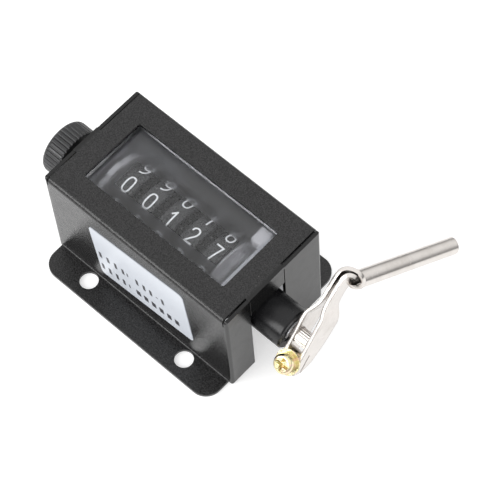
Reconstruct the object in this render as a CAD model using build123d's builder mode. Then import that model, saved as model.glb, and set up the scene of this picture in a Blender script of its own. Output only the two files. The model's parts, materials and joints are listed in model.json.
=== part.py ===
"""Five-digit lever tally counter: sheet-metal case, number wheels, pull lever and reset knob.

Frame: millimetres, +Z up. The origin is the centre of the four base holes, on the underside of the
base flanges. +X runs from the reset knob to the lever, and -Y is the labelled front wall.
All shafts turn about one line parallel to X, the main axis.
"""
from build123d import *
import os
from math import cos, radians, sin

os.makedirs("parts", exist_ok=True)

# ---- driving dimensions -------------------------------------------------------------------------
# case
case_length = 66.0
case_width = 36.1
case_height = 36.7
sheet = 1.0
bend_outer = 1.5
bend_inner = 0.5
flange_length = 63.0
flange_reach = 8.55
flange_corner = 5.0
hole_spacing_x = 36.1
hole_spacing_y = 42.74
base_hole_radius = 2.7
window_length = 50.2
window_width = 21.2
flap_gap = 0.4
flap_foot = 0.7
# main axis, and the notches in the end walls that it passes through
axis_y = -2.3
axis_z = 21.3
lever_notch = 13.3
lever_notch_centre = -2.6
knob_notch = 9.2
# number wheels
wheel_count = 5
wheel_pitch = 7.8
wheel_row_centre = -0.3
drum_radius = 11.6
drum_width = 5.2
wheel_gear_teeth = 20
pinion_teeth = 8
gear_module = 0.93
shaft_radius = 2.0
running_clearance = 0.05
# inner frame
plate = 1.2
left_plate_x = -25.6
right_plate_x = 25.2
right_lip = 2.3
lip_width = 22.0
plate_top = 32.9
plate_foot = 3.0
plate_half_width = 16.8
ear_width = 9.0
frame_screw_x = 21.0
frame_screw_z = 11.0
frame_screw_radius = 1.25
bush_radius = 3.6
# lever side
sleeve_radius = 6.15
sleeve_end = 41.6
drive_radius = 2.28
lever_angle = 50.0
inner_cheek_x = 42.2
outer_cheek_x = 47.3
cheek = 1.1
near_edge = 2.5
lever_stroke = 45.0
handle_radius = 2.45
handle_wall = 0.6
handle_length = 34.0
handle_slope = -25.4
handle_lean = 12.7
# knob side
knob_radius = 8.2
knob_outer_x = -44.3
knob_length = 6.5
knob_ridges = 40

# ---- derived places -----------------------------------------------------------------------------
half_length = case_length / 2
half_width = case_width / 2
pinion_distance = gear_module * (wheel_gear_teeth + pinion_teeth) / 2
pinion_angle = -30.0
wheel_x = [wheel_row_centre + wheel_pitch * (i - (wheel_count - 1) / 2) for i in range(wheel_count)]
wheel_names = ["ten_thousands", "thousands", "hundreds", "tens", "units"]
ratchet_x = wheel_x[-1] + drum_width / 2
ratchet_plane = ratchet_x + 0.5
ratchet_thickness = 1.6
ratchet_flange = 11.0
ratchet_tip = 8.6
ratchet_root = 7.1
pawl_pivot_radius = 12.0
pawl_pin_radius = 0.8
drive_pawl_angle = 160.0
hold_pawl_angle = -60.0
carrier_x = ratchet_plane + ratchet_thickness + 1.4
carrier_thickness = 1.2


def polar(radius, angle):
    """A point (y, z) measured from the main axis, at an angle from +Y towards +Z."""
    return (radius * cos(radians(angle)), radius * sin(radians(angle)))


def across(x, y=axis_y, z=axis_z):
    """A plane that faces +X, with its x along +Y and its y along +Z, by default on the main axis."""
    return Plane(origin=(x, y, z), x_dir=(0, 1, 0), z_dir=(1, 0, 0))


def spot(radius, angle, x):
    """A plane that faces +X, centred at a polar place around the main axis."""
    y, z = polar(radius, angle)
    return across(x, axis_y + y, axis_z + z)


def save(piece, name):
    piece.part.label = name
    export_step(piece.part, f"parts/{name}.step")


def coil(name, plane, radius, wire, turns, pitch):
    """A close helical spring that winds along the plane's normal."""
    with BuildPart() as spring:
        with BuildLine():
            path = Helix(pitch=pitch, height=turns * pitch, radius=radius,
                         center=plane.origin, direction=plane.z_dir)
        with BuildSketch(Plane(origin=path @ 0, z_dir=path % 0)):
            Circle(wire)
        sweep(path=path, is_frenet=True)
    save(spring, name)


# ---- case: one bent sheet with base flanges, a window and bent-in end flaps ----------------------
with BuildPart() as housing_shell:
    reach = half_width + flange_reach
    inside = half_width - sheet
    with BuildSketch(Plane.YZ.offset(-half_length)) as hat:
        with BuildLine():
            Polyline((-reach, 0), (-inside, 0), (-inside, case_height - sheet), (inside, case_height - sheet),
                     (inside, 0), (reach, 0), (reach, sheet), (half_width, sheet), (half_width, case_height),
                     (-half_width, case_height), (-half_width, sheet), (-reach, sheet), close=True)
        make_face()
        # in this sketch X runs across the case and Y is the height
        outer_corners = hat.vertices().filter_by(lambda v: abs(abs(v.X) - half_width) < 0.01)
        fillet(outer_corners.group_by(Axis.Y)[-1], bend_outer)
        inner_corners = hat.vertices().filter_by(lambda v: abs(abs(v.X) - inside) < 0.01)
        fillet(inner_corners.group_by(Axis.Y)[0], bend_outer)
        fillet(inner_corners.group_by(Axis.Y)[-1], bend_inner)
        outer_corners = hat.vertices().filter_by(lambda v: abs(abs(v.X) - half_width) < 0.01)
        fillet([v for v in outer_corners if abs(v.Y - sheet) < 0.01], bend_inner)
    extrude(amount=case_length)
    with BuildSketch(Plane.XY):
        Rectangle(case_length, case_width)
        RectangleRounded(flange_length, case_width + 2 * flange_reach, flange_corner)
    extrude(amount=case_height + 1, mode=Mode.INTERSECT)
    with BuildSketch(Plane.XY.offset(case_height)):
        RectangleRounded(window_length, window_width, 0.6)
    extrude(amount=-3, mode=Mode.SUBTRACT)
    with BuildSketch(Plane.XY):
        with GridLocations(hole_spacing_x, hole_spacing_y, 2, 2):
            Circle(base_hole_radius)
    extrude(amount=sheet, mode=Mode.SUBTRACT)
    for side, notch, centre in ((1, lever_notch, lever_notch_centre), (-1, knob_notch, axis_y)):
        low = centre - notch / 2
        high = centre + notch / 2
        outer = side * half_length
        inner = side * (half_length - sheet)
        # clear the end of the sheet, except the strip that becomes the centre tab
        for y0, y1 in ((-half_width - 0.1, low), (high, half_width + 0.1)):
            with BuildSketch(Plane.XY.offset(case_height - 3)):
                with Locations(((outer + inner) / 2 - side * flap_gap / 2, (y0 + y1) / 2)):
                    Rectangle(sheet + flap_gap, y1 - y0)
            extrude(amount=4, mode=Mode.SUBTRACT)
        # the two flaps that the front and back walls bend into the end plane
        for y0, y1 in ((-half_width, low), (high, half_width)):
            with BuildSketch(Plane.XY.offset(flap_foot)):
                with Locations(((outer + inner) / 2, (y0 + y1) / 2)):
                    Rectangle(sheet, y1 - y0)
            extrude(amount=case_height - 0.35 - flap_foot)
        # the tab that the top plate bends down over the shaft
        tab_bottom = axis_z + notch / 2 + 0.4
        with BuildSketch(Plane.XY.offset(tab_bottom)):
            with Locations(((outer + inner) / 2, centre)):
                Rectangle(sheet, notch - 0.5)
        extrude(amount=case_height - tab_bottom - 0.5)
    uprights = [e for e in housing_shell.edges().filter_by(Axis.Z)
                if e.length > 25 and abs(abs(e.center().X) - half_length) < 0.02
                and abs(abs(e.center().Y) - half_width) < 0.02]
    fillet(uprights, 0.95)
    # the flaps follow the round of the top bends
    with BuildSketch(Plane.YZ.offset(-half_length)) as cover:
        with Locations((0, case_height / 2)):
            Rectangle(case_width, case_height)
        fillet(cover.vertices().group_by(Axis.Y)[-1], bend_outer)
        Rectangle(2 * reach, 4 * sheet)
    extrude(amount=case_length, mode=Mode.INTERSECT)
    with BuildSketch(Plane.XZ.offset(-half_width)):
        with GridLocations(2 * frame_screw_x, 0, 2, 1):
            with Locations((0, frame_screw_z)):
                Circle(frame_screw_radius + 0.15)
    extrude(amount=sheet * 2, both=True, mode=Mode.SUBTRACT)
save(housing_shell, "housing_shell")

# ---- window: a clear tray under the opening, with a polished reading strip ------------------------
lens_top = 34.6
lens_floor = 33.4
with BuildPart() as window_lens:
    with BuildSketch(Plane.XY.offset(lens_floor)):
        RectangleRounded(window_length + 2.6, window_width + 2.6, 1.2)
    extrude(amount=case_height - sheet - lens_floor)
    with BuildSketch(Plane.XY.offset(lens_top)):
        RectangleRounded(window_length - 0.2, window_width - 0.2, 0.8)
    extrude(amount=3, mode=Mode.SUBTRACT)
    with BuildSketch(Plane.XY.offset(lens_top)):
        with Locations((-0.15, -1.8)):
            RectangleRounded(36.9, 9.1, 0.5)
    extrude(amount=0.15)
save(window_lens, "window_lens")

# ---- label on the front wall, set a few degrees off level ------------------------------------------
label_thickness = 0.2
with BuildPart() as label_plate:
    with BuildSketch(Plane.XZ.offset(half_width)):
        with Locations(Location((1.0, 18.5), 5.2)):
            RectangleRounded(34.8, 23.5, 1.4)
    extrude(amount=label_thickness)
save(label_plate, "label_plate")

# ---- inner frame -----------------------------------------------------------------------------------
tie_places = [(-14.2, 7.0), (14.2, 7.0), (14.2, 28.6)]
tie_radius = 1.5
axle_y, axle_z = polar(pinion_distance, pinion_angle)
axle_radius = 1.0


def side_plate(name, x, ear_x, shaft_hole, pins, lip):
    """A frame plate with its bearing hole, a bent top lip, and a rear ear that a screw in the back wall holds."""
    with BuildPart() as piece:
        with BuildSketch(across(x, 0, 0)):
            with Locations((0, (plate_top + plate_foot) / 2)):
                RectangleRounded(2 * plate_half_width, plate_top - plate_foot, 2.0)
            with Locations((axis_y, axis_z)):
                Circle(shaft_hole, mode=Mode.SUBTRACT)
            with Locations(*tie_places):
                Circle(0.85, mode=Mode.SUBTRACT)
            with Locations(*pins):
                Circle(axle_radius + 0.01, mode=Mode.SUBTRACT)
            with Locations((0, plate_foot)):
                RectangleRounded(18.0, 8.0, 2.0, mode=Mode.SUBTRACT)
        extrude(amount=plate)
        with BuildSketch(Plane.XZ.offset(-plate_half_width)):
            with Locations((ear_x, frame_screw_z)):
                Rectangle(ear_width, 9.0)
                Circle(frame_screw_radius + 0.02, mode=Mode.SUBTRACT)
        extrude(amount=1.1)
        if lip > 0:
            with BuildSketch(Plane.XY.offset(plate_top)):
                with Locations((x - lip / 2, 0)):
                    Rectangle(lip, lip_width)
            extrude(amount=-plate)
    save(piece, name)


axle_place = (axis_y + axle_y, axis_z + axle_z)
hold_y, hold_z = polar(pawl_pivot_radius, hold_pawl_angle)
stop_angles = (drive_pawl_angle - 22.5, drive_pawl_angle + lever_stroke + 22.5)
stop_points = [(axis_y + polar(9.0, a)[0], axis_z + polar(9.0, a)[1]) for a in stop_angles]
hold_place = (axis_y + hold_y, axis_z + hold_z)
side_plate("side_plate_left", left_plate_x, -frame_screw_x, bush_radius + 0.01, [axle_place], 0)
side_plate("side_plate_right", right_plate_x, frame_screw_x, drive_radius + 0.06,
           [axle_place, hold_place] + stop_points, right_lip)

# moulded block that the right plate's lip holds down, behind the units wheel
block_start = ratchet_plane + 0.8
block_near = 6.2
block_far = 10.6
block_low = 28.5
block_step = 32.6
with BuildPart() as guide_block:
    with BuildSketch(Plane.XZ.offset(-block_far)):
        with BuildLine():
            Polyline((block_start, block_low), (right_plate_x, block_low),
                     (right_plate_x, plate_top - plate), (right_plate_x - right_lip, plate_top - plate),
                     (right_plate_x - right_lip, block_step), (block_start, block_step), close=True)
        make_face()
    extrude(amount=block_far - block_near)
    fillet(guide_block.edges().filter_by(Axis.Y).group_by(Axis.X)[0], 0.6)
save(guide_block, "guide_block")

with BuildPart() as tie_bars:
    for y, z in tie_places:
        with BuildSketch(across(left_plate_x + plate, y, z)):
            Circle(tie_radius)
            Circle(0.8, mode=Mode.SUBTRACT)
        extrude(amount=right_plate_x - left_plate_x - plate)
save(tie_bars, "tie_bars")

with BuildPart() as tie_bar_screws:
    for x, out in ((left_plate_x, -1), (right_plate_x + plate, 1)):
        for y, z in tie_places:
            with BuildSketch(across(x, y, z)):
                Circle(1.9)
            extrude(amount=out * 1.4)
            with BuildSketch(across(x + out * 1.4, y, z)):
                Rectangle(4.0, 0.5, rotation=35)
            extrude(amount=-out * 0.6, mode=Mode.SUBTRACT)
            with BuildSketch(across(x, y, z)):
                Circle(0.8)
            extrude(amount=-out * 5)
save(tie_bar_screws, "tie_bar_screws")

rear_wall = Plane(origin=(0, half_width, 0), x_dir=(-1, 0, 0), z_dir=(0, 1, 0))
frame_screw_places = [(-frame_screw_x, frame_screw_z), (frame_screw_x, frame_screw_z)]
with BuildPart() as frame_screws:
    with BuildSketch(rear_wall):
        with Locations(*frame_screw_places):
            Circle(2.8)
    extrude(amount=1.6)
    fillet(frame_screws.edges().group_by(Axis.Y)[-1], 0.7)
    with BuildSketch(rear_wall.offset(1.6)):
        with Locations(*frame_screw_places):
            Rectangle(2.8, 0.6)
            Rectangle(0.6, 2.8)
    extrude(amount=-1.0, mode=Mode.SUBTRACT)
    with BuildSketch(rear_wall):
        with Locations(*frame_screw_places):
            Circle(frame_screw_radius)
    extrude(amount=-3.4)
save(frame_screws, "frame_screws")

with BuildPart() as pinion_axle:
    with BuildSketch(across(left_plate_x, *axle_place)):
        Circle(axle_radius)
    extrude(amount=right_plate_x + plate - left_plate_x)
save(pinion_axle, "pinion_axle")

with BuildPart() as stop_pins:
    for y, z in stop_points:
        with BuildSketch(across(carrier_x - 0.2, y, z)):
            Circle(axle_radius)
        extrude(amount=right_plate_x + plate - carrier_x + 0.2)
save(stop_pins, "stop_pins")

# ---- bearings --------------------------------------------------------------------------------------
with BuildPart() as shaft_bush:
    with BuildSketch(across(left_plate_x - 1.4)):
        Circle(4.6)
    extrude(amount=1.4)
    with BuildSketch(across(left_plate_x)):
        Circle(bush_radius)
    extrude(amount=plate + 0.5)
    with BuildSketch(across(left_plate_x - 1.4)):
        Circle(shaft_radius + running_clearance)
    extrude(amount=plate + 1.9, mode=Mode.SUBTRACT)
save(shaft_bush, "shaft_bush")

sleeve_foot = right_plate_x + plate
sleeve_screw_angles = (90, 210, 330)
with BuildPart() as bearing_sleeve:
    with BuildSketch(across(sleeve_foot)):
        Circle(8.6)
        with PolarLocations(7.2, 3, start_angle=90):
            Circle(0.85, mode=Mode.SUBTRACT)
    extrude(amount=1.6)
    with BuildSketch(across(sleeve_foot)):
        Circle(sleeve_radius)
    extrude(amount=sleeve_end - sleeve_foot)
    chamfer(bearing_sleeve.edges().group_by(Axis.X)[-1], 0.4)
    with BuildSketch(across(sleeve_foot)):
        Circle(drive_radius + 0.06)
    extrude(amount=sleeve_end - sleeve_foot, mode=Mode.SUBTRACT)
save(bearing_sleeve, "bearing_sleeve")

with BuildPart() as sleeve_screws:
    for angle in sleeve_screw_angles:
        with BuildSketch(spot(7.2, angle, sleeve_foot)):
            Circle(0.8)
        extrude(amount=1.6)
        with BuildSketch(spot(7.2, angle, sleeve_foot + 1.6)):
            Circle(0.98)
        extrude(amount=0.9)
save(sleeve_screws, "sleeve_screws")

def gear_blank(teeth, turn):
    """A flat toothed disc; turn is the angle of its first tooth."""
    pitch_radius = gear_module * teeth / 2
    reach = 0.6
    half = 0.55
    root = pitch_radius - reach - 0.3
    tip = pitch_radius + reach
    with BuildSketch(mode=Mode.PRIVATE) as blank:
        Circle(root)
        for i in range(teeth):
            with BuildSketch(mode=Mode.PRIVATE) as tooth:
                with BuildLine():
                    Polyline((root - 0.5, half * 1.3), (root + 0.1, half * 1.3), (tip, half * 0.55),
                             (tip, -half * 0.55), (root + 0.1, -half * 1.3), (root - 0.5, -half * 1.3),
                             close=True)
                make_face()
            add(tooth.sketch.rotate(Axis.Z, turn + 360 * i / teeth))
    return blank.sketch


# ---- number wheels, each with a transfer gear on its right and a notched flange on its left ----------
def number_wheel(index, name, x):
    units = index == wheel_count - 1
    left = x - drum_width / 2
    right = x + drum_width / 2
    flange_radius = drum_radius - 0.3 if index == 0 else 8.4
    with BuildPart() as piece:
        with BuildSketch(across(left)):
            Circle(drum_radius)
        extrude(amount=drum_width)
        chamfer(piece.edges().filter_by(GeomType.CIRCLE), 0.25)
        for face_x, depth in ((left, 1.4), (right, -1.4)):
            with BuildSketch(across(face_x)):
                Circle(drum_radius - 1.3)
                Circle(4.0, mode=Mode.SUBTRACT)
            extrude(amount=depth, mode=Mode.SUBTRACT)
        with BuildSketch(across(left - 1.4)):
            Circle(flange_radius)
            if index > 0:
                with Locations(polar(flange_radius, pinion_angle + 90)):
                    Circle(1.0, mode=Mode.SUBTRACT)
        extrude(amount=1.4 + 1.4)
        if not units:
            with BuildSketch(across(right - 1.4)):
                with Locations(Location((0, 0), pinion_angle)):
                    gear = gear_blank(wheel_gear_teeth, 0.0)
                    add(gear)
            extrude(amount=1.4 + 1.1)
        with BuildSketch(across(left - 1.4)):
            Circle(shaft_radius + running_clearance)
        extrude(amount=drum_width + 4, mode=Mode.SUBTRACT)
    save(piece, f"number_wheel_{name}")


for wheel_index, wheel_name in enumerate(wheel_names):
    number_wheel(wheel_index, wheel_name, wheel_x[wheel_index])

# each transfer pinion bridges the gear of one wheel and the notched flange of the next
for pinion_index in range(wheel_count - 1):
    with BuildPart() as transfer_pinion:
        start_x = wheel_x[pinion_index] + drum_width / 2 + 0.1
        with BuildSketch(across(start_x, *axle_place)):
            add(gear_blank(pinion_teeth, pinion_angle + 180 + 180 / pinion_teeth))
            Circle(axle_radius + running_clearance, mode=Mode.SUBTRACT)
        extrude(amount=wheel_pitch - drum_width - 0.2)
    save(transfer_pinion, f"transfer_pinion_{wheel_names[pinion_index]}")

# ---- ratchet and pawls -------------------------------------------------------------------------------
with BuildPart() as ratchet_wheel:
    with BuildSketch(across(ratchet_x + 0.1)):
        Circle(ratchet_flange)
    extrude(amount=0.4)
    with BuildSketch(across(ratchet_x)):
        Circle(3.9)
    extrude(amount=0.5)
    with BuildSketch(across(ratchet_plane)):
        with BuildLine():
            points = []
            for i in range(10):
                points.append(polar(ratchet_tip, 36 * i + drive_pawl_angle - 33))
                points.append(polar(ratchet_root, 36 * i + drive_pawl_angle - 31))
            Polyline(*points, close=True)
        make_face()
    extrude(amount=ratchet_thickness)
    with BuildSketch(across(ratchet_x)):
        Circle(shaft_radius + running_clearance)
    extrude(amount=3, mode=Mode.SUBTRACT)
save(ratchet_wheel, "ratchet_wheel")


def pawl(name, angle):
    """A pawl whose tip sits just off the ratchet's teeth, behind its pivot by thirty degrees."""
    with BuildPart() as piece:
        with BuildSketch(across(ratchet_plane + 0.1)):
            with BuildLine():
                Polyline(polar(ratchet_tip + 0.3, angle - 30), polar(ratchet_tip + 1.5, angle - 30),
                         polar(pawl_pivot_radius + 0.9, angle - 8), polar(pawl_pivot_radius, angle),
                         polar(pawl_pivot_radius - 1.5, angle + 1), close=True)
            make_face()
            with Locations(polar(pawl_pivot_radius, angle)):
                Circle(1.7)
                Circle(pawl_pin_radius + running_clearance, mode=Mode.SUBTRACT)
        extrude(amount=ratchet_thickness - 0.2)
    save(piece, name)


pawl("drive_pawl", drive_pawl_angle)
pawl("hold_pawl", hold_pawl_angle)

pin_start = ratchet_plane - 0.3
with BuildPart() as hold_pawl_pin:
    with BuildSketch(spot(pawl_pivot_radius, hold_pawl_angle, pin_start)):
        Circle(pawl_pin_radius)
    extrude(amount=carrier_x - pin_start)
    with BuildSketch(spot(pawl_pivot_radius, hold_pawl_angle, carrier_x)):
        Circle(1.3)
    extrude(amount=right_plate_x - carrier_x)
    with BuildSketch(spot(pawl_pivot_radius, hold_pawl_angle, right_plate_x)):
        Circle(axle_radius)
    extrude(amount=plate)
save(hold_pawl_pin, "hold_pawl_pin")

with BuildPart() as drive_pawl_pin:
    with BuildSketch(spot(pawl_pivot_radius, drive_pawl_angle, pin_start)):
        Circle(pawl_pin_radius)
    extrude(amount=carrier_x + carrier_thickness + 0.3 - pin_start)
save(drive_pawl_pin, "drive_pawl_pin")

for pawl_side, side_angle in (("hold", hold_pawl_angle), ("drive", drive_pawl_angle)):
    coil_plane = spot(pawl_pivot_radius, side_angle, ratchet_plane + ratchet_thickness + 0.28)
    coil(f"{pawl_side}_pawl_spring", coil_plane, 1.12, 0.18, 2.0, 0.42)

# ---- drive shaft and the arm that carries the drive pawl ------------------------------------------------
with BuildPart() as pawl_carrier:
    with BuildSketch(across(carrier_x)):
        Circle(5.2)
        with Locations(polar(pawl_pivot_radius, drive_pawl_angle)):
            Circle(2.0)
        with Locations(Location(polar(pawl_pivot_radius / 2, drive_pawl_angle), drive_pawl_angle)):
            Rectangle(pawl_pivot_radius, 4.0)
        with Locations(polar(pawl_pivot_radius, drive_pawl_angle)):
            Circle(pawl_pin_radius + 0.01, mode=Mode.SUBTRACT)
        Circle(drive_radius + 0.01, mode=Mode.SUBTRACT)
    extrude(amount=carrier_thickness)
save(pawl_carrier, "pawl_carrier")

spigot_radius = 1.2
spigot_start = carrier_x - 0.2
shaft_end = outer_cheek_x - 0.05
with BuildPart() as drive_shaft:
    with BuildSketch(across(carrier_x)):
        Circle(drive_radius)
    extrude(amount=shaft_end - carrier_x)
    with BuildSketch(across(carrier_x)):
        Circle(spigot_radius + running_clearance)
    extrude(amount=4.2, mode=Mode.SUBTRACT)
    # splines on the outer end, which the lever grips
    with BuildSketch(across(inner_cheek_x + 0.02)):
        with PolarLocations(drive_radius + 0.08, 20):
            Circle(0.22)
    extrude(amount=shaft_end - inner_cheek_x, mode=Mode.SUBTRACT)
    # groove for the retaining clip
    with BuildSketch(across(sleeve_end + 0.1)):
        Circle(drive_radius + 0.5)
        Circle(1.9, mode=Mode.SUBTRACT)
    extrude(amount=0.5, mode=Mode.SUBTRACT)
save(drive_shaft, "drive_shaft")

with BuildPart() as shaft_clip:
    with BuildSketch(across(sleeve_end + 0.15)):
        Circle(3.9)
        Circle(1.92, mode=Mode.SUBTRACT)
        with Locations((-3.0, 0)):
            Rectangle(4.0, 2.4, mode=Mode.SUBTRACT)
    extrude(amount=0.4)
save(shaft_clip, "shaft_clip")

coil("return_spring", across(carrier_x + carrier_thickness + 0.45), 3.9, 0.32, 2.0, 0.75)

# ---- wheel shaft, reset disc and reset knob ---------------------------------------------------------------
knob_inner_x = knob_outer_x + knob_length
reset_disc_x = -23.3
reset_disc_radius = 10.8
with BuildPart() as reset_disc:
    with BuildSketch(across(reset_disc_x)):
        Circle(reset_disc_radius)
        with PolarLocations(reset_disc_radius, 10):
            Circle(0.9, mode=Mode.SUBTRACT)
    extrude(amount=1.6)
    with BuildSketch(across(reset_disc_x)):
        Circle(4.2)
    extrude(amount=2.5)
    with BuildSketch(across(reset_disc_x)):
        Circle(shaft_radius + 0.01)
    extrude(amount=2.5, mode=Mode.SUBTRACT)
save(reset_disc, "reset_disc")

with BuildPart() as wheel_shaft:
    with BuildSketch(across(knob_outer_x + 1.5)):
        Circle(shaft_radius)
    extrude(amount=spigot_start - knob_outer_x - 1.5)
    with BuildSketch(across(spigot_start)):
        Circle(spigot_radius)
    extrude(amount=4.0)
save(wheel_shaft, "wheel_shaft")

with BuildPart() as reset_knob:
    with BuildSketch(across(knob_outer_x)):
        Circle(knob_radius)
    extrude(amount=knob_length)
    fillet(reset_knob.edges().group_by(Axis.X)[0], 1.6)
    fillet(reset_knob.edges().group_by(Axis.X)[-1], 0.4)
    with BuildSketch(across(knob_outer_x)):
        with PolarLocations(knob_radius + 0.05, knob_ridges):
            Circle(0.36)
    extrude(amount=knob_length, mode=Mode.SUBTRACT)
    with BuildSketch(across(knob_inner_x)):
        Circle(4.0)
    extrude(amount=3.9)
    with BuildSketch(across(knob_outer_x + 1.5)):
        Circle(shaft_radius + 0.01)
    extrude(amount=knob_length + 4, mode=Mode.SUBTRACT)
save(reset_knob, "reset_knob")

# ---- lever: a folded strap with two cheeks and a curled neck, and its rolled tube handle -------------------
arm_along = Vector(0, cos(radians(lever_angle)), sin(radians(lever_angle)))
arm_near = Vector(0, -sin(radians(lever_angle)), cos(radians(lever_angle)))
pivot = Vector(0, axis_y, axis_z)
clamp_reach = -7.2
clamp_x = inner_cheek_x + (outer_cheek_x + cheek - inner_cheek_x) / 2
handle_along = Vector(sin(radians(handle_lean)),
                      cos(radians(handle_lean)) * cos(radians(handle_slope)),
                      cos(radians(handle_lean)) * sin(radians(handle_slope)))
handle_root = pivot + Vector(49.0, 0, 0) + arm_along * 21.3 - arm_near * 3.4
handle_up = (arm_along - handle_along * arm_along.dot(handle_along)).normalized()
handle_frame = Plane(origin=handle_root, x_dir=handle_up, z_dir=handle_along)


def cheek_plane(x):
    """Faces +X; its x runs along the arm and its y towards the arm's near edge."""
    return Plane(origin=pivot + Vector(x, 0, 0), x_dir=arm_along, z_dir=(1, 0, 0))


def side_view(near):
    """Seen from the near edge; its x runs along the arm and its y along +X."""
    return Plane(origin=pivot + arm_near * near, x_dir=arm_along, z_dir=-arm_near)


def clamp_plane(height):
    """Across the clamp screw, at a height above the main axis towards the near edge."""
    origin = pivot + arm_near * height + arm_along * clamp_reach + Vector(clamp_x, 0, 0)
    return Plane(origin=origin, x_dir=arm_along, z_dir=arm_near)


inner_run = [(-10.0, 42.75), (6.9, 42.75), (10.4, 44.65), (14.0, 45.25), (21.5, 45.8)]
outer_run = [(-10.0, 47.85), (8.4, 47.85), (11.4, 46.85), (14.5, 46.7), (21.0, 46.9)]
arm_top = 21.5
neck_length = 5.6
neck_mouth = 3.7
with BuildPart() as lever_arm:
    for run in (inner_run, outer_run):
        with BuildSketch(side_view(near_edge)):
            with BuildLine():
                run_line = FilletPolyline(*run, radius=2.0)
            trace(run_line, line_width=cheek)
        extrude(amount=11)
    # the leaf outline of both cheeks
    with BuildSketch(cheek_plane(40)) as leaf:
        with BuildLine():
            Polyline((-9.8, near_edge), (arm_top, near_edge), (arm_top, -5.0), (16.0, -3.4), (12.0, -3.9),
                     (6.2, -7.2), (-1.0, -6.6), (-7.5, -4.0), (-9.8, -1.2), close=True)
        make_face()
        fillet(leaf.vertices().sort_by(Axis.Z)[:5], 1.0)
    extrude(amount=20, mode=Mode.INTERSECT)
    # clamp ears between the cheeks, and the slit that the clamp screw closes
    for low in (1.3, -2.4):
        with BuildSketch(clamp_plane(low)):
            with Locations((-0.2, 0)):
                Rectangle(4.6, outer_cheek_x + cheek - inner_cheek_x)
        extrude(amount=1.2)
    with BuildSketch(clamp_plane(-3)):
        Circle(1.55)
    extrude(amount=7, mode=Mode.SUBTRACT)
    with BuildSketch(cheek_plane(inner_cheek_x - 1)):
        Circle(drive_radius + 0.02)
    extrude(amount=4, mode=Mode.SUBTRACT)
    with BuildSketch(cheek_plane(inner_cheek_x - 1)):
        with Locations((-7.0, -0.75)):
            Rectangle(7.0, 0.7)
    extrude(amount=10, mode=Mode.SUBTRACT)
    # the curled neck, a cone cut off at a slant, that becomes the tube
    with BuildSketch(handle_frame.offset(-neck_length)):
        Circle(neck_mouth)
    with BuildSketch(handle_frame):
        Circle(handle_radius)
    loft()
    with BuildSketch(handle_frame.offset(-neck_length)):
        Circle(neck_mouth - handle_wall)
    with BuildSketch(handle_frame):
        Circle(handle_radius - handle_wall)
    loft(mode=Mode.SUBTRACT)
    slant = Plane(origin=handle_root, x_dir=handle_up, z_dir=handle_frame.y_dir * 0.85 - handle_along * 0.5)
    with BuildSketch(slant.offset(1.2)):
        Rectangle(16, 16)
    extrude(amount=8, mode=Mode.SUBTRACT)
    with BuildSketch(handle_frame):
        Circle(handle_radius + 0.02)
    extrude(amount=8, mode=Mode.SUBTRACT)
save(lever_arm, "lever_arm")

with BuildPart() as handle_tube:
    with BuildSketch(handle_frame):
        Circle(handle_radius)
        Circle(handle_radius - handle_wall, mode=Mode.SUBTRACT)
        with Locations((-handle_radius, 0)):
            Rectangle(2.0, 0.25, mode=Mode.SUBTRACT)
    extrude(amount=handle_length)
save(handle_tube, "handle_tube")

# ---- clamp screw stack, on the arm's near edge ---------------------------------------------------------------
with BuildPart() as flat_washer:
    with BuildSketch(clamp_plane(near_edge)):
        Circle(3.7)
        Circle(1.6, mode=Mode.SUBTRACT)
    extrude(amount=0.5)
save(flat_washer, "flat_washer")

with BuildPart() as spring_washer:
    with BuildSketch(clamp_plane(near_edge + 0.5)):
        Circle(3.0)
        Circle(1.6, mode=Mode.SUBTRACT)
        with Locations((0, 2.3)):
            Rectangle(0.4, 2.0, rotation=25, mode=Mode.SUBTRACT)
    extrude(amount=0.8)
save(spring_washer, "spring_washer")

head_base = near_edge + 1.3
head_radius = 2.85
head_height = 2.0
recess_span = 4.0
recess_wing = 1.05
recess_depth = 1.3
with BuildPart() as clamp_screw:
    with BuildSketch(clamp_plane(head_base)):
        Circle(head_radius)
    extrude(amount=head_height)
    fillet(clamp_screw.edges().filter_by(GeomType.CIRCLE).sort_by(Axis.Z)[-1], 0.8)
    with BuildSketch(clamp_plane(head_base + head_height)) as recess:
        Rectangle(recess_span, recess_wing)
        Rectangle(recess_wing, recess_span)
        fillet(recess.vertices(), 0.2)
    extrude(amount=-recess_depth, taper=18, mode=Mode.SUBTRACT)
    with BuildSketch(clamp_plane(head_base)):
        Circle(1.5)
    extrude(amount=-head_base - 2.9)
save(clamp_screw, "clamp_screw")
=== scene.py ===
"""Looks for the lever tally counter: finishes, printed digits, label marks, lever, light and camera.

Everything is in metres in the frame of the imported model. MM turns millimetres into metres.
"""
import json
from math import cos, pi, radians, sin

import bpy
from mathutils import Matrix, Vector


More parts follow.
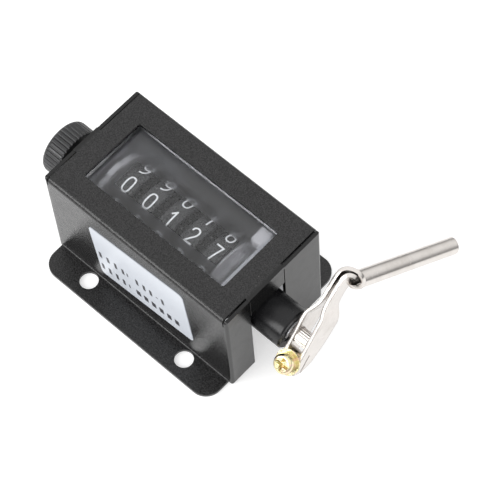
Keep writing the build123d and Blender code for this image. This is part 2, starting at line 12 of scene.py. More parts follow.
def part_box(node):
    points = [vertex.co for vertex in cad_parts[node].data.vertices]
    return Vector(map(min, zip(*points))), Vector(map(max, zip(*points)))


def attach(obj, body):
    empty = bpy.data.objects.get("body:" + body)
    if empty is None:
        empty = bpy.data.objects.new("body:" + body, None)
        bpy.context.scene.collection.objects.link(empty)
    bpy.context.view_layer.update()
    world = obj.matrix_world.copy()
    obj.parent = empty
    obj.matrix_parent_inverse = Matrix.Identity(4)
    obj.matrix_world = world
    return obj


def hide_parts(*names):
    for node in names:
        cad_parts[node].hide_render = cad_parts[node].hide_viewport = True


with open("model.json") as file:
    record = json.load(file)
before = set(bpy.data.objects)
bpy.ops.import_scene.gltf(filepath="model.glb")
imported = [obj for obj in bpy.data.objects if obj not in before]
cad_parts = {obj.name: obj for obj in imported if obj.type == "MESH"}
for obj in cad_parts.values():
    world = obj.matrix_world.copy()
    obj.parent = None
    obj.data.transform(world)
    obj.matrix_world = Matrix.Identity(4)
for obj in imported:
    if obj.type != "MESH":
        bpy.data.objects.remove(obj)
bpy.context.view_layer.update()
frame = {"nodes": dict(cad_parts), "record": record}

MM = 0.001
nodes = frame["nodes"]

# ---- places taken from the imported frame, in millimetres ----------------------------------------------
WHEELS = ["ten_thousands", "thousands", "hundreds", "tens", "units"]
shaft_low, shaft_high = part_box("wheel_shaft")
axis_y = (shaft_low.y + shaft_high.y) / 2 / MM
axis_z = (shaft_low.z + shaft_high.z) / 2 / MM
drum_low, drum_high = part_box("number_wheel_units")
drum_radius = (drum_high.z - drum_low.z) / 2 / MM


# ---- finishes ---------------------------------------------------------------------------------------
class Finish:
    """A procedural material around one Principled shader. Sizes of features are in millimetres."""

    def __init__(self, name, colour, roughness, metallic=0.0, **values):
        self.material = bpy.data.materials.new(name)
        self.material.use_nodes = True
        self.tree = self.material.node_tree
        self.shader = self.tree.nodes["Principled BSDF"]
        self.shader.inputs["Base Color"].default_value = (*colour, 1.0)
        self.shader.inputs["Roughness"].default_value = roughness
        self.shader.inputs["Metallic"].default_value = metallic
        for key, value in values.items():
            self.shader.inputs[key.replace("_", " ")].default_value = value
        self.place = self.add("ShaderNodeTexCoord").outputs["Object"]
        self.normal = None

    def add(self, kind, settings=None, **inputs):
        made = self.tree.nodes.new(kind)
        for key, value in (settings or {}).items():
            setattr(made, key, value)
        for key, value in inputs.items():
            self.feed(value, made.inputs[int(key[1:]) if key[0] == "_" else key.replace("_", " ")])
        return made

    def feed(self, value, socket):
        if isinstance(value, bpy.types.NodeSocket):
            self.tree.links.new(value, socket)
        else:
            socket.default_value = value

    def scaled(self, factors):
        """Object coordinates stretched by a factor along each axis."""
        return self.add("ShaderNodeMapping", Vector=self.place, Scale=factors).outputs["Vector"]

    def noise(self, size, detail=3.0, rough=0.5, place=None, twist=0.0):
        made = self.add("ShaderNodeTexNoise", Vector=place or self.place, Scale=1 / (size * MM),
                        Detail=detail, Roughness=rough, Distortion=twist)
        return made.outputs["Fac"]

    def span(self, value, low, high, start=0.0, end=1.0):
        """Maps low..high to start..end, clamped."""
        return self.add("ShaderNodeMapRange", Value=value, From_Min=low, From_Max=high, To_Min=start,
                        To_Max=end).outputs["Result"]

    def maths(self, operation, a, b=0.0):
        return self.add("ShaderNodeMath", {"operation": operation}, _0=a, _1=b).outputs[0]

    def blend(self, factor, a, b):
        """A colour between a and b."""
        made = self.add("ShaderNodeMix", {"data_type": "RGBA"}, _0=factor)
        for value, index in ((a, 6), (b, 7)):
            if isinstance(value, tuple):
                value = (*value, 1.0)
            self.feed(value, made.inputs[index])
        return made.outputs[2]

    def axis(self, index):
        return self.add("ShaderNodeSeparateXYZ", Vector=self.place).outputs[index]

    def bump(self, height, depth):
        """Raises the surface by height times depth, in millimetres."""
        made = self.add("ShaderNodeBump", Height=height, Distance=depth * MM)
        if self.normal is not None:
            self.tree.links.new(self.normal, made.inputs["Normal"])
        self.normal = made.outputs["Normal"]

    def soften(self, radius):
        """Rounds the look of sharp edges, so that they catch the light."""
        self.normal = self.add("ShaderNodeBevel", {"samples": 6}, Radius=radius * MM).outputs["Normal"]

    def done(self, **inputs):
        for key, value in inputs.items():
            self.feed(value, self.shader.inputs[key.replace("_", " ")])
        if self.normal is not None:
            self.tree.links.new(self.normal, self.shader.inputs["Normal"])
        return self.material


def case_enamel():
    """Black stoving enamel: orange peel on the folded faces, smoother and glossier on the end flaps."""
    f = Finish("case_enamel", (0.011, 0.011, 0.012), 0.24)
    f.soften(0.16)
    peel = f.span(f.maths("ABSOLUTE", f.axis(0)), 31.4 * MM, 32.2 * MM, 1.0, 0.1)
    f.bump(f.maths("MULTIPLY", f.noise(1.3, 2.0), peel), 0.03)
    f.bump(f.maths("MULTIPLY", f.noise(0.5, 2.0), peel), 0.07)
    f.bump(f.maths("MULTIPLY", f.noise(0.22, 2.0), peel), 0.03)
    grain = f.maths("MULTIPLY", f.span(f.noise(0.30, 2.0), 0.36, 0.66), peel)
    dust = f.span(f.noise(0.5, 1.0), 0.74, 0.80)
    tone = f.blend(grain, (0.002, 0.002, 0.002), (0.026, 0.0255, 0.026))
    return f.done(Base_Color=f.blend(f.maths("MULTIPLY", dust, 0.25), tone, (0.20, 0.19, 0.18)),
                  Roughness=f.span(f.noise(2.5, 4.0), 0.3, 0.7, 0.18, 0.26), Specular_IOR_Level=0.38)


def window_plastic():
    f = Finish("window", (0.74, 0.75, 0.77), 0.5, Transmission_Weight=1.0, IOR=1.40,
               Specular_IOR_Level=0.25)
    x, y = f.axis(0), f.axis(1)

    def outside(value, centre, half):
        away = f.maths("ABSOLUTE", f.maths("SUBTRACT", value, centre * MM))
        return f.span(away, half * MM, (half + 0.25) * MM)

    frost = f.maths("MAXIMUM", outside(x, -0.15, 18.35), outside(y, -1.8, 4.45))
    haze = f.noise(2.4, 3.0)
    f.bump(f.maths("MULTIPLY", f.noise(0.35, 2.0), frost), 0.006)
    rough = f.span(haze, 0.3, 0.7, 0.27, 0.35)
    tint = f.blend(frost, (0.86, 0.87, 0.88), (0.62, 0.625, 0.645))
    return lamps_through(f, f.done(Base_Color=tint,
                                   Roughness=f.maths("ADD", f.maths("MULTIPLY", rough, frost), 0.03)))


def lamps_through(f, material):
    """Lets the lamps' shadow rays through, so that what is behind the plastic is lit."""
    out = f.tree.nodes["Material Output"]
    clear = f.add("ShaderNodeBsdfTransparent", Color=(0.97, 0.97, 0.98, 1.0))
    path = f.add("ShaderNodeLightPath")
    mix = f.add("ShaderNodeMixShader", _0=path.outputs["Is Shadow Ray"], _1=f.shader.outputs[0],
                _2=clear.outputs[0])
    f.tree.links.new(mix.outputs[0], out.inputs["Surface"])
    return material


def label_film():
    f = Finish("label", (0.74, 0.79, 0.86), 0.28, Coat_Weight=0.4, Coat_Roughness=0.18)
    tone = f.blend(f.noise(14.0, 3.0), (0.55, 0.58, 0.63), (0.60, 0.63, 0.68))
    f.bump(f.noise(0.3, 2.0), 0.001)
    return f.done(Base_Color=tone, Roughness=f.span(f.noise(3.0), 0.3, 0.7, 0.30, 0.38))


def plated(name, light, dark, low, high, streak=(1.0, 1.0, 1.0), size=0.12, depth=0.0025, edge=0.1):
    """Plated metal: a tone that drifts, fine directional scratches and a patchy polish."""
    f = Finish(name, light, low, 1.0)
    f.soften(edge)
    lines = f.noise(size, 4.0, 0.7, f.scaled(streak))
    f.bump(lines, depth)
    f.bump(f.noise(1.6, 3.0), depth * 4)
    tone = f.blend(f.span(f.noise(3.5, 5.0, 0.6), 0.35, 0.68), light, dark)
    return f.done(Base_Color=tone, Roughness=f.span(f.noise(1.2, 4.0, 0.6), 0.3, 0.7, low, high))


def nickel():
    """Bright warm nickel: fine polishing lines, faint tarnish and a softly uneven surface."""
    f = Finish("lever_nickel", (0.72, 0.685, 0.655), 0.18, 1.0)
    f.soften(0.14)
    f.bump(f.noise(0.10, 4.0, 0.7, f.scaled((1.0, 0.25, 0.25))), 0.0012)
    f.bump(f.noise(2.6, 2.0), 0.003)
    tarnish = f.span(f.noise(5.0, 4.0, 0.6), 0.46, 0.78)
    tone = f.blend(tarnish, (0.69, 0.655, 0.625), (0.61, 0.57, 0.535))
    return f.done(Base_Color=tone, Roughness=f.span(f.noise(1.4, 4.0, 0.6), 0.3, 0.7, 0.19, 0.28))


def yellow_zinc():
    f = Finish("yellow_zinc", (0.78, 0.62, 0.26), 0.2, 1.0)
    f.soften(0.12)
    f.bump(f.noise(0.1, 3.0), 0.004)
    f.bump(f.noise(0.9, 3.0), 0.02)
    gold = f.blend(f.span(f.noise(1.6, 4.0, 0.6), 0.38, 0.62), (0.84, 0.78, 0.50), (0.72, 0.62, 0.34))
    pink = f.blend(f.span(f.noise(2.3, 3.0, 0.6, twist=1.5), 0.52, 0.66), gold, (0.84, 0.60, 0.50))
    green = f.blend(f.span(f.noise(1.9, 3.0, 0.6, f.scaled((1.3, 0.8, 1.0)), 2.0), 0.55, 0.68), pink,
                    (0.72, 0.80, 0.50))
    return f.done(Base_Color=green, Roughness=f.span(f.noise(0.8, 4.0), 0.3, 0.7, 0.12, 0.28))


def moulded(name, dark, light, low, high, grain=0.12, depth=0.006, edge=0.12, **values):
    """Moulded plastic: faint flow marks, a fine skin and rubbed patches."""
    f = Finish(name, dark, low, 0.0, **values)
    f.soften(edge)
    f.bump(f.noise(grain, 3.0), depth)
    f.bump(f.noise(2.6, 3.0), depth * 4)
    tone = f.blend(f.span(f.noise(4.0, 5.0, 0.6), 0.3, 0.7), dark, light)
    return f.done(Base_Color=tone, Roughness=f.span(f.noise(1.5, 4.0, 0.6), 0.3, 0.7, low, high))


finishes = {
    "case_enamel": case_enamel(),
    "window": window_plastic(),
    "label": label_film(),
    "frame_steel": plated("frame_steel", (0.74, 0.75, 0.77), (0.60, 0.61, 0.64), 0.24, 0.38, (1, 6, 1)),
    "fastener_steel": plated("fastener_steel", (0.66, 0.67, 0.69), (0.52, 0.52, 0.55), 0.2, 0.34),
    "black_plastic": moulded("black_plastic", (0.008, 0.008, 0.009), (0.013, 0.013, 0.014), 0.2, 0.3,
                             Specular_IOR_Level=0.3),
    "knob_plastic": moulded("knob_plastic", (0.013, 0.013, 0.014), (0.023, 0.023, 0.025), 0.26, 0.4),
    "bush_brass": plated("bush_brass", (0.80, 0.60, 0.28), (0.66, 0.47, 0.22), 0.22, 0.36),
    "shaft_steel": plated("shaft_steel", (0.70, 0.69, 0.68), (0.58, 0.57, 0.57), 0.14, 0.26, (0.2, 1, 1)),
    "spring_wire": plated("spring_wire", (0.62, 0.62, 0.63), (0.50, 0.50, 0.52), 0.2, 0.3, edge=0.03),
    "lever_nickel": nickel(),
    "yellow_zinc": yellow_zinc(),
    "pawl_steel": plated("pawl_steel", (0.42, 0.42, 0.44), (0.32, 0.32, 0.34), 0.3, 0.45),
    "wheel_plastic": moulded("wheel_plastic", (0.010, 0.010, 0.011), (0.017, 0.017, 0.018), 0.2, 0.34),
    "pinion_plastic": moulded("pinion_plastic", (0.86, 0.86, 0.87), (0.92, 0.92, 0.93), 0.35, 0.5),
}


def digit_ink():
    f = Finish("digit_ink", (0.86, 0.87, 0.88), 0.42)
    f.bump(f.noise(0.12, 3.0), 0.006)
    tone = f.blend(f.span(f.noise(0.4, 4.0), 0.35, 0.7), (0.90, 0.91, 0.92), (0.74, 0.75, 0.77))
    return f.done(Base_Color=tone, Roughness=f.span(f.noise(0.5), 0.3, 0.7, 0.34, 0.5))


def label_ink():
    f = Finish("label_ink", (0.03, 0.03, 0.035), 0.4)
    tone = f.blend(f.span(f.noise(0.3, 4.0), 0.4, 0.75), (0.025, 0.025, 0.03), (0.09, 0.09, 0.10))
    f.bump(f.noise(0.12, 3.0), 0.004)
    return f.done(Base_Color=tone, Roughness=f.span(f.noise(0.6), 0.3, 0.7, 0.3, 0.48))


ink_white = digit_ink()
ink_black = label_ink()

for row in frame["record"]["subparts"]:
    mesh = nodes[row["node"]].data
    mesh.materials.clear()
    mesh.materials.append(finishes[row["material_slot"]])


# ---- mesh helpers -------------------------------------------------------------------------------------
def piece(name, points, faces, material, body):
    """A mesh piece, with its points in millimetres in the row frame, that rides on a body."""
    mesh = bpy.data.meshes.new(name)
    mesh.from_pydata([Vector(p) * MM for p in points], [], faces)
    mesh.materials.append(material)
    mesh.validate()
    made = bpy.data.objects.new(name, mesh)
    bpy.context.scene.collection.objects.link(made)
    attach(made, body)
    return made


def smooth_path(points, closed, steps=7):
    """Points of a Catmull-Rom curve through the given ones."""
    count = len(points)
    out = []
    for i in range(count if closed else count - 1):
        if closed:
            p = [Vector(points[(i + k) % count]) for k in (-1, 0, 1, 2)]
        else:
            p = [Vector(points[min(max(i + k, 0), count - 1)]) for k in (-1, 0, 1, 2)]
        for s in range(steps):
            t = s / steps
            out.append(0.5 * (2 * p[1] + (p[2] - p[0]) * t + (2 * p[0] - 5 * p[1] + 4 * p[2] - p[3]) * t * t
                              + (3 * p[1] - p[0] - 3 * p[2] + p[3]) * t ** 3))
    if not closed:
        out.append(Vector(points[-1]))
    return out


def ribbon(points, closed, width, cap_steps=4):
    """The outline pairs of a stroke: a list of (left, right) points, with round ends if it's open."""
    pairs = []
    count = len(points)
    for i, p in enumerate(points):
        before = points[(i - 1) % count] if closed or i else p
        after = points[(i + 1) % count] if closed or i < count - 1 else p
        along = (after - before).normalized()
        side = Vector((-along.y, along.x)) * width / 2
        pairs.append((p + side, p - side, along))
    if closed:
        return [(a, b) for a, b, _ in pairs]
    out = []
    first, last = pairs[0], pairs[-1]
    for end, sign in ((first, -1), (last, 1)):
        fan = []
        centre = (end[0] + end[1]) / 2
        side = (end[0] - end[1]) / 2
        for k in range(1, cap_steps):
            a = pi / 2 * k / cap_steps
            push = end[2] * (sign * sin(a) * width / 2)
            fan.append((centre + side * cos(a) + push, centre - side * cos(a) + push))
        out.append(fan)
    return out[0][::-1] + [(a, b) for a, b, _ in pairs] + out[1]


def stroke_solid(pairs, closed, wrap, low, high):
    """A thin closed solid from ribbon pairs. wrap turns a flat point and a height into a 3-D point."""
    points, faces = [], []
    for a, b in pairs:
        points += [wrap(a, low), wrap(b, low), wrap(b, high), wrap(a, high)]
    count = len(pairs)
    for i in range(count if closed else count - 1):
        j = (i + 1) % count
        for k in range(4):
            m = (k + 1) % 4
            faces.append((4 * i + k, 4 * j + k, 4 * j + m, 4 * i + m))
    if not closed:
        last = 4 * (count - 1)
        faces += [(0, 1, 2, 3), (last + 3, last + 2, last + 1, last)]
    return points, faces


# ---- digits on the number wheels ------------------------------------------------------------------------
# each digit is a list of strokes in a box from -1 to 1 across and -1 to 1 up
RING = [(cos(pi * k / 8), sin(pi * k / 8)) for k in range(16)]


def oval(cx, cy, rx, ry, power=0.8):
    def bend(c):
        return (abs(c) ** power) * (1 if c >= 0 else -1)
    return [(cx + rx * bend(x), cy + ry * bend(y)) for x, y in RING]


GLYPHS = {
    0: [(oval(0, 0, 1, 1, 0.72), True, True)],
    1: [([(-0.62, 0.50), (0.22, 1.0)], False, False), ([(0.22, 1.0), (0.22, -1.0)], False, False)],
    2: [([(-0.95, 0.55), (-0.72, 0.86), (0.0, 1.0), (0.72, 0.84), (0.92, 0.48), (0.68, 0.08),
          (-0.1, -0.45), (-0.95, -1.0)], False, True), ([(-0.95, -1.0), (1.0, -1.0)], False, False)],
    3: [([(-0.85, 0.72), (-0.4, 0.95), (0.15, 1.0), (0.75, 0.8), (0.85, 0.45), (0.55, 0.14), (-0.1, 0.05)],
         False, True),
        ([(-0.1, 0.05), (0.6, -0.02), (1.0, -0.42), (0.75, -0.86), (0.05, -1.0), (-0.6, -0.94),
          (-1.0, -0.62)], False, True)],
    4: [([(0.45, 1.0), (-1.0, -0.45)], False, False), ([(-1.0, -0.45), (1.0, -0.45)], False, False),
        ([(0.45, 1.0), (0.45, -1.0)], False, False)],
    5: [([(0.85, 1.0), (-0.7, 1.0)], False, False), ([(-0.7, 1.0), (-0.85, 0.1)], False, False),
        ([(-0.85, 0.1), (-0.3, 0.28), (0.35, 0.25), (0.95, -0.08), (0.98, -0.55), (0.5, -0.93),
          (-0.2, -1.0), (-0.95, -0.72)], False, True)],
    6: [(oval(0, -0.42, 0.98, 0.58, 0.85), True, True),
        ([(-0.98, -0.42), (-0.92, 0.1), (-0.62, 0.6), (-0.1, 0.9), (0.6, 1.0)], False, True)],
    7: [([(-0.95, 1.0), (0.98, 1.0)], False, False), ([(0.98, 1.0), (-0.25, -1.0)], False, False)],
    8: [(oval(0, 0.52, 0.82, 0.48, 0.85), True, True), (oval(0, -0.46, 1.0, 0.54, 0.85), True, True)],
    9: [(oval(0, 0.42, 0.98, 0.58, 0.85), True, True),
        ([(0.98, 0.42), (0.92, -0.1), (0.66, -0.6), (0.05, -0.92), (-0.65, -1.0)], False, True)],
}
DIGIT_HALF_WIDTH = 1.12
DIGIT_HALF_HEIGHT = 2.36
DIGIT_STROKE = 0.48
READING_ANGLE = 96.0
SHOWN = [0, 0, 1, 2, 7]
DIGIT_SUNK = 0.08
DIGIT_PROUD = 0.03
DRUM_FLANGE = 1.4
DRUM_HALF_FACE = 2.6


def digits(name, x, shown):
    """All ten digits around one wheel, with the shown one at the reading angle."""
    points, faces = [], []
    for value, strokes in GLYPHS.items():
        centre = radians(READING_ANGLE + 36 * (value - shown))

        def wrap(flat, height):
            angle = centre - flat.y / drum_radius
            reach = drum_radius + height
            return (x + flat.x, axis_y + reach * cos(angle), axis_z + reach * sin(angle))

        for k, (path, closed, curved) in enumerate(strokes):
            flat = [Vector((px * DIGIT_HALF_WIDTH, py * DIGIT_HALF_HEIGHT)) for px, py in path]
            if curved:
                flat = smooth_path(flat, closed)
            else:
                flat = [flat[0].lerp(flat[1], t / 8) for t in range(9)]
            pairs = ribbon(flat, closed, DIGIT_STROKE)
            new_points, new_faces = stroke_solid(pairs, closed, wrap, -DIGIT_SUNK, DIGIT_PROUD + 0.004 * k)
            start = len(points)
            points += new_points
            faces += [tuple(start + i for i in face) for face in new_faces]
    piece(f"digits_{name}", points, faces, ink_white, f"wheel_{name}")


for wheel_name, shown_digit in zip(WHEELS, SHOWN):
    wheel_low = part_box(f"number_wheel_{wheel_name}")[0]
    digits(wheel_name, wheel_low.x / MM + DRUM_FLANGE + DRUM_HALF_FACE, shown_digit)


# ---- generic marks on the label -------------------------------------------------------------------------
# a mark is (place along the row, (width, height)), and a row is (height from the label's centre, marks)
LABEL_CENTRE = (1.0, 18.5)
LABEL_TURN = radians(5.2)
label_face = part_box("label_plate")[0].y / MM
TALL, SMALL, WIDE, DASH = (0.95, 2.7), (0.5, 1.7), (1.6, 2.4), (0.9, 0.4)
MARK_CORNER = 0.22
MARK_SUNK = 0.03
MARK_PROUD = 0.02
ROWS = [(-1.1, [(-15.7, TALL), (-12.8, TALL), (-9.9, TALL), (-7.1, TALL), (-5.4, SMALL), (-1.8, TALL),
                (0.9, TALL), (3.4, TALL), (5.7, DASH), (7.8, TALL)]),
        (-7.3, [(-16.0, TALL), (-13.3, TALL), (-10.5, TALL), (-7.9, TALL), (-5.8, SMALL), (-2.4, WIDE),
                (0.5, WIDE), (3.4, WIDE), (6.3, WIDE), (9.2, WIDE), (12.1, WIDE)])]


def rounded_mark(u, v, wide, high):
    """The outline of one bar with rounded corners, around (u, v) on the label."""
    outline = []
    for k in range(16):
        turn = pi * (k + 0.5) / 8
        across = wide / 2 - MARK_CORNER if cos(turn) > 0 else MARK_CORNER - wide / 2
        upward = high / 2 - MARK_CORNER if sin(turn) > 0 else MARK_CORNER - high / 2
        outline.append((u + across + MARK_CORNER * cos(turn), v + upward + MARK_CORNER * sin(turn)))
    return outline


def label_marks():
    points, faces = [], []
    c, s = cos(LABEL_TURN), sin(LABEL_TURN)
    for v, marks in ROWS:
        for u, (wide, high) in marks:
            outline = rounded_mark(u, v, wide, high)
            start = len(points)
            for y in (label_face + MARK_SUNK, label_face - MARK_PROUD):
                for pu, pv in outline:
                    points.append((LABEL_CENTRE[0] + pu * c - pv * s, y, LABEL_CENTRE[1] + pu * s + pv * c))
            ring = len(outline)
            faces.append(tuple(start + ring + i for i in range(ring)))
            faces.append(tuple(start + ring - 1 - i for i in range(ring)))
            for i in range(ring):
                j = (i + 1) % ring
                faces.append((start + i, start + j, start + ring + j, start + ring + i))
    piece("label_marks", points, faces, ink_black, "housing")


label_marks()

# ---- lever arm: two cheeks of one folded sheet that curl over into the tube handle ----------------------
# rows are places (along the arm, across in x, towards the near edge), in millimetres from the pivot
LEVER_ANGLE = radians(50.0)
ARM_ALONG = Vector((0, cos(LEVER_ANGLE), sin(LEVER_ANGLE)))
ARM_NEAR = Vector((0, -sin(LEVER_ANGLE), cos(LEVER_ANGLE)))
PIVOT = Vector((0, axis_y, axis_z))
NEAR_EDGE = 2.5
SHEET = 1.05
EDGE_SOFTNESS = 0.16
TUBE_RADIUS = 2.45
HOLE_RADIUS = 2.42
HANDLE_SLOPE, HANDLE_LEAN = radians(-25.4), radians(12.7)
HANDLE_ALONG = Vector((sin(HANDLE_LEAN), cos(HANDLE_LEAN) * cos(HANDLE_SLOPE),
                       cos(HANDLE_LEAN) * sin(HANDLE_SLOPE)))
HANDLE_UP = (ARM_ALONG - HANDLE_ALONG * ARM_ALONG.dot(HANDLE_ALONG)).normalized()
HANDLE_SIDE = HANDLE_ALONG.cross(HANDLE_UP)
HANDLE_ROOT = PIVOT + Vector((49.0, 0, 0)) + ARM_ALONG * 21.3 - ARM_NEAR * 3.4
# the far edge of both cheeks: (along the arm, towards the near edge)
LEAF = [(-9.8, -1.2), (-7.5, -4.0), (-4.0, -5.6), (-1.0, -6.5), (2.6, -7.1), (6.2, -7.2), (9.2, -5.6),
        (12.0, -4.1), (14.2, -3.6), (16.5, -3.5), (19.0, -3.9), (21.5, -4.4)]


def arm_point(along, x, near):
    """A place on the lever, measured from the pivot."""
    return PIVOT + Vector((x, 0, 0)) + ARM_ALONG * along + ARM_NEAR * near


def leaf_depth(along):
    """Where a cheek's far edge is at a distance along the arm."""
    for (s0, d0), (s1, d1) in zip(LEAF, LEAF[1:]):
        if along <= s1:
            return d0 + (d1 - d0) * max(0.0, (along - s0) / (s1 - s0))
    return LEAF[-1][1]


def tube_point(angle, radius, forward):
    """A place on a ring around the tube handle's axis."""
    turn = radians(angle)
    return (HANDLE_ROOT + HANDLE_ALONG * forward + HANDLE_SIDE * (radius * cos(turn))
            + HANDLE_UP * (radius * sin(turn)))


def apply_modifiers(made):
    """Turns the piece's modifiers into mesh, with smooth shading up to 40 degrees."""
    applied = bpy.data.meshes.new_from_object(made.evaluated_get(bpy.context.evaluated_depsgraph_get()))
    made.modifiers.clear()
    made.data = applied
    for polygon in applied.polygons:
        polygon.use_smooth = True
    applied.set_sharp_from_angle(angle=radians(40))


def sheet_metal(name, near_row, far_row, steps=6, across=10, prisms=()):
    """A sheet between two rows of points, given thickness, cut and then softened along its edges."""
    near_line = smooth_path(near_row, False, steps)
    far_line = smooth_path(far_row, False, steps)
    points, faces = [], []
    for a, b in zip(near_line, far_line):
        points += [a.lerp(b, k / across) for k in range(across + 1)]
    width = across + 1
    for i in range(len(near_line) - 1):
        for k in range(across):
            c = i * width + k
            faces.append((c, c + 1, c + width + 1, c + width))
    made = piece(name, points, faces, finishes["lever_nickel"], "lever")
    thick = made.modifiers.new("thick", "SOLIDIFY")
    thick.thickness = SHEET * MM
    thick.offset = 0.0
    thick.use_even_offset = True
    for prism in prisms:
        cut = made.modifiers.new("cut", "BOOLEAN")
        cut.operation = "DIFFERENCE"
        cut.solver = "EXACT"
        cut.object = prism
    edge = made.modifiers.new("edge", "BEVEL")
    edge.width = EDGE_SOFTNESS * MM
    edge.segments = 2
    edge.limit_method = "ANGLE"
    edge.angle_limit = radians(50)
    apply_modifiers(made)
    return made


def cutting_prism(name, points, depth):
    """A prism along +X that a boolean removes; it is taken away again afterwards."""
    mesh = bpy.data.meshes.new(name)
    count = len(points)
    rows = [p * MM for p in points] + [(p + Vector((depth, 0, 0))) * MM for p in points]
    sides = [(i, (i + 1) % count, count + (i + 1) % count, count + i) for i in range(count)]
    mesh.from_pydata(rows, [], sides + [tuple(range(count))[::-1], tuple(range(count, 2 * count))])
    mesh.validate()
    made = bpy.data.objects.new(name, mesh)
    bpy.context.scene.collection.objects.link(made)
    return made


def cheek_rows(path):
    """The near and far edges of a cheek whose sheet follows a path of (along, x)."""
    near = [arm_point(s, x, NEAR_EDGE) for s, x in path]
    far = [arm_point(s, x, leaf_depth(s)) for s, x in path]
    return near, far


slot_corners = ((-10.5, -0.45), (-10.5, -1.05), (-3.6, -1.05), (-3.6, -0.45))
slot_cut = cutting_prism("slot_cut", [arm_point(s, 44.0, n) for s, n in slot_corners], 6.0)
hole_points = []
for k in range(32):
    hole_points.append(arm_point(HOLE_RADIUS * cos(pi * k / 16), 41.0, HOLE_RADIUS * sin(pi * k / 16)))
hole_cut = cutting_prism("hole_cut", hole_points, 3.5)
bpy.context.view_layer.update()

# inner cheek, its curl over the top and the ring that becomes the tube. Each step of the curl is a place on
# the near edge, and the angle on the tube that the far edge has reached
near_row, far_row = cheek_rows([(-9.8, 42.95), (-7.5, 42.95), (-4.0, 42.95), (-1.0, 42.95), (2.6, 42.95),
                                (6.2, 42.97), (7.9, 43.2), (9.6, 43.95), (11.6, 44.85), (14.0, 45.35),
                                (17.0, 45.5)])
curl = [((20.2, 45.55, 2.5), 170), ((22.26, 45.64, 2.26), 145), ((23.83, 46.02, 1.8), 118),
        ((24.79, 46.93, 1.23), 90), ((25.24, 48.28, 0.53), 62), ((25.13, 49.82, -0.25), 34),
        ((24.31, 51.06, -1.22), 6), ((22.9, 51.6, -2.0), -24), ((21.2, 51.2, -2.7), -54),
        ((19.9, 50.3, -3.0), -84), ((19.1, 49.1, -3.0), -112), ((18.9, 48.1, -2.9), -136)]
for (s, x, n), turn in curl:
    near_row.append(arm_point(s, x, n))
    far_row.append(tube_point(turn, TUBE_RADIUS - SHEET / 2 + 0.22, 0.25))
inner_cheek = sheet_metal("lever_inner_cheek", near_row, far_row, prisms=[hole_cut])

# outer cheek, whose end is folded inside the ring
near_row, far_row = cheek_rows([(-9.8, 47.95), (-7.5, 47.95), (-4.0, 47.95), (-1.0, 47.95), (2.6, 47.95),
                                (6.2, 47.97), (8.6, 47.9), (10.4, 47.45), (12.2, 47.15), (14.5, 47.15),
                                (17.5, 47.25)])
fold = [((20.4, 47.35, 2.5), 165), ((22.4, 47.6, 2.45), 138), ((23.7, 48.2, 2.2), 108),
        ((24.2, 49.1, 1.6), 78), ((24.0, 50.0, 0.8), 48)]
for (s, x, n), turn in fold:
    near_row.append(arm_point(s, x, n))
    far_row.append(tube_point(turn, 1.05, -0.4))
outer_cheek = sheet_metal("lever_outer_cheek", near_row, far_row, prisms=[slot_cut])
for helper in (slot_cut, hole_cut):
    bpy.data.objects.remove(helper)


def clamp_tab(name, low, high):
    """A tab folded between the cheeks, that the clamp screw pulls together."""
    points = []
    for along in (-9.6, -5.0):
        for x in (43.3, 47.6):
            points += [arm_point(along, x, low), arm_point(along, x, high)]
    faces = [(0, 1, 3, 2), (4, 6, 7, 5), (0, 4, 5, 1), (2, 3, 7, 6), (0, 2, 6, 4), (1, 5, 7, 3)]
    made = piece(name, points, faces, finishes["lever_nickel"], "lever")
    edge = made.modifiers.new("edge", "BEVEL")
    edge.width = 0.15 * MM
    edge.segments = 3
    apply_modifiers(made)


for index, (low, high) in enumerate(((1.3, 2.45), (-2.5, -1.4))):
    clamp_tab(f"lever_clamp_tab_{index}", low, high)
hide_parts("lever_arm")

# ---- floor, light and camera ----------------------------------------------------------------------------
def stage_floor():
    """White paper with a painted glow near the object that lightens its shadows; for all rays but the
    camera's it falls away to a painted grey shade far from it.
    """
    f = Finish("floor_painted_glow_and_shade", (0.66, 0.66, 0.66), 0.75, Emission_Color=(1.0, 1.0, 1.0, 1.0))
    f.bump(f.noise(0.6, 3.0), 0.01)
    reach = f.add("ShaderNodeVectorMath", {"operation": "LENGTH"}, _0=f.place).outputs["Value"]
    # painted light: 1 near the object, where the floor is pale and glows, falling to 0 farther out, where
    # it is painted dark grey with no glow
    near = f.span(reach, 0.16, 0.26, 1.0, 0.0)
    # camera rays always see the pale glowing floor; only reflections and bounces see the painted falloff to
    # grey
    near = f.maths("MAXIMUM", near, f.add("ShaderNodeLightPath").outputs["Is Camera Ray"])
    f.done(Base_Color=f.blend(near, (0.10, 0.10, 0.10), (0.67, 0.67, 0.67)),
           Emission_Strength=f.maths("MULTIPLY", near, 0.46))
    size = 2.0
    mesh = bpy.data.meshes.new("floor")
    mesh.from_pydata([(-size, -size, 0), (size, -size, 0), (size, size, 0), (-size, size, 0)], [],
                     [(0, 1, 2, 3)])
    mesh.materials.append(f.material)
    made = bpy.data.objects.new("floor", mesh)
    made.location.z = -0.00005
    bpy.context.scene.collection.objects.link(made)


def lamp(name, place, aim, size, strength):
    """A square soft lamp; strength is its radiance."""
    data = bpy.data.lights.new(name, "AREA")
    data.shape = "SQUARE"
    data.size = size
    data.energy = strength * pi * size * size
    made = bpy.data.objects.new(name, data)
    made.location = place
    made.rotation_mode = "QUATERNION"
    made.rotation_quaternion = (Vector(aim) - Vector(place)).to_track_quat("-Z", "Y")
    bpy.context.scene.collection.objects.link(made)


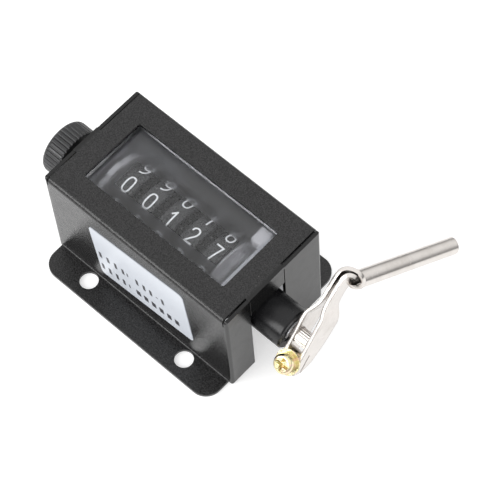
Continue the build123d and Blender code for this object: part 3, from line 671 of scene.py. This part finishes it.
stage_floor()
world = bpy.data.worlds.new("studio")
bpy.context.scene.world = world
world.use_nodes = True
sky = world.node_tree.nodes
direction = sky.new("ShaderNodeTexCoord")
split = sky.new("ShaderNodeSeparateXYZ")
ramp = sky.new("ShaderNodeValToRGB")
seen = sky.new("ShaderNodeLightPath")
plain = sky.new("ShaderNodeMix")
plain.data_type = "RGBA"
plain.inputs[7].default_value = (0.80, 0.80, 0.80, 1)
link = world.node_tree.links.new
link(direction.outputs["Generated"], split.inputs[0])
link(split.outputs["Z"], ramp.inputs["Fac"])
link(ramp.outputs["Color"], plain.inputs[6])
link(seen.outputs["Is Camera Ray"], plain.inputs[0])
link(plain.outputs[2], sky["Background"].inputs["Color"])
# brightness by the upward part of the direction: grey at the horizon, bright overhead
SKY_LEVELS = [(0.0, 0.32), (0.12, 0.34), (0.34, 0.86), (0.75, 1.0)]
while len(ramp.color_ramp.elements) < len(SKY_LEVELS):
    ramp.color_ramp.elements.new(0.5)
for stop, (place, level) in zip(ramp.color_ramp.elements, SKY_LEVELS):
    stop.position = place
    stop.color = (level, level, level, 1)
sky["Background"].inputs["Strength"].default_value = 1.22
lamp("front_softbox", (-0.28, -0.72, 0.42), (0, 0, 0.02), 0.50, 5.2)

CAMERA_AZIMUTH = radians(47.70155)
CAMERA_ELEVATION = radians(61.45430)
CAMERA_ROLL = radians(-5.66574)
CAMERA_TARGET = Vector((10.3576, 10.2656, 15.0)) * MM
CAMERA_DISTANCE = 607.0967 * MM
back = Vector((sin(CAMERA_AZIMUTH) * cos(CAMERA_ELEVATION), -cos(CAMERA_AZIMUTH) * cos(CAMERA_ELEVATION),
               sin(CAMERA_ELEVATION)))
level_right = Vector((cos(CAMERA_AZIMUTH), sin(CAMERA_AZIMUTH), 0))
level_up = back.cross(level_right)
right = cos(CAMERA_ROLL) * level_right + sin(CAMERA_ROLL) * level_up
up = cos(CAMERA_ROLL) * level_up - sin(CAMERA_ROLL) * level_right
camera = bpy.data.objects.new("camera", bpy.data.cameras.new("camera"))
bpy.context.scene.collection.objects.link(camera)
camera.data.lens = 168.5155
camera.data.sensor_width = 36.0
camera.data.clip_start = 0.01
camera.data.clip_end = 20.0
camera.matrix_world = Matrix.Translation(CAMERA_TARGET + back * CAMERA_DISTANCE) @ Matrix(
    (right, up, back)).transposed().to_4x4()
bpy.context.scene.camera = camera
bpy.context.scene.view_settings.view_transform = "Standard"
